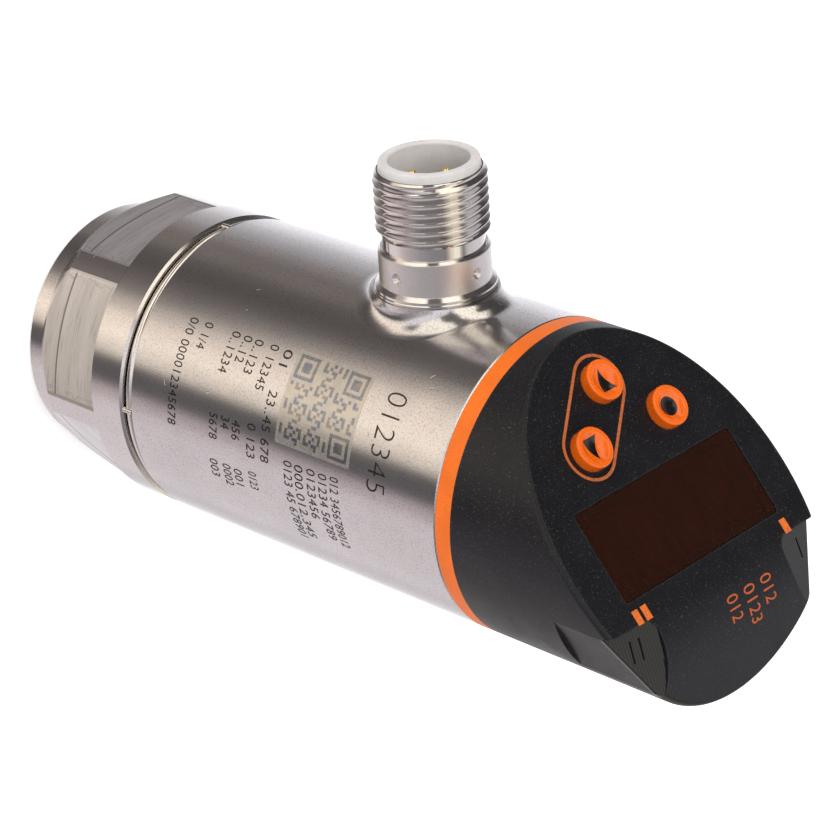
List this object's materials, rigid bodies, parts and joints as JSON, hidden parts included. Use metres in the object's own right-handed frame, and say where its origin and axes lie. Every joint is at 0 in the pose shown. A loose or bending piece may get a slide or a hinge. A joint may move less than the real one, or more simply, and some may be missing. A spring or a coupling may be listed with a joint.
{
  "type": "electronic pressure switch",
  "caption": "Cylindrical steel pressure switch with a turnable housing, inclined display head with push buttons, round side plug connector and hexagon process fitting.",
  "frame": {"origin": "centre of the process fitting's end face, on the main axis", "axes": "+Z along the main axis from the process fitting to the display head, -Y the side of the plug connector and of the inclined display face, X across the display"},
  "size_m": [0.034, 0.0492, 0.091],
  "materials": {
    "steel": "satin tumbled stainless steel",
    "spring_steel": "drawn spring steel",
    "nickel": "polished nickel plating",
    "insert_plastic": "light grey moulded plastic",
    "gold": "gold plated contact",
    "orange_plastic": "satin orange plastic",
    "button_orange": "satin orange moulded button",
    "head_plastic": "fine grained black plastic",
    "window_tint": "dark red tinted window",
    "smoke_tint": "smoke tinted clear plastic",
    "black_plastic": "moulded black plastic",
    "grey_plastic": "moulded grey plastic",
    "board": "green circuit board",
    "ceramic": "sintered ceramic",
    "seal": "moulded rubber"
  },
  "bodies": {
    "fitting": {"process_connection": "steel", "rotary_seal": "seal", "locking_ring": "spring_steel", "retaining_ring": "spring_steel", "cell_seal": "seal", "measuring_cell": "ceramic", "cell_clamp_ring": "steel", "signal_board": "board"},
    "housing": {"housing_tube": "steel", "connector_shell": "nickel", "connector_seal": "seal", "connector_washer": "nickel", "connector_insert": "insert_plastic", "connector_board": "board", "board_header": "black_plastic", "main_board": "board", "board_carrier": "grey_plastic", "seal_ring": "orange_plastic", "head_seal": "seal", "display_housing": "head_plastic", "display_window": "window_tint", "display_module": "black_plastic", "display_board": "board", "board_screws": "spring_steel", "up_switch": "black_plastic", "down_switch": "black_plastic", "enter_switch": "black_plastic", "light_window_right": "smoke_tint", "light_window_left": "smoke_tint", "contact_pin_1": "gold", "contact_pin_2": "gold", "contact_pin_3": "gold", "contact_pin_4": "gold"},
    "up": {"up_button": "button_orange"},
    "down": {"down_button": "button_orange"},
    "enter": {"enter_button": "button_orange"}
  },
  "joints": [
    {"name": "housing_turn", "type": "hinge", "parent": "fitting", "child": "housing", "pos_m": [0, 0, 0.0204], "axis": [0, 0, 1], "range_deg": [-172.5, 172.5]},
    {"name": "up_press", "type": "slide", "parent": "housing", "child": "up", "axis": [0, 0.6428, -0.766], "range_m": [0, 0.0004], "stiffness_N_per_m": 1500},
    {"name": "down_press", "type": "slide", "parent": "housing", "child": "down", "axis": [0, 0.6428, -0.766], "range_m": [0, 0.0004], "stiffness_N_per_m": 1500},
    {"name": "enter_press", "type": "slide", "parent": "housing", "child": "enter", "axis": [0, 0.6428, -0.766], "range_m": [0, 0.0004], "stiffness_N_per_m": 1500}
  ]
}
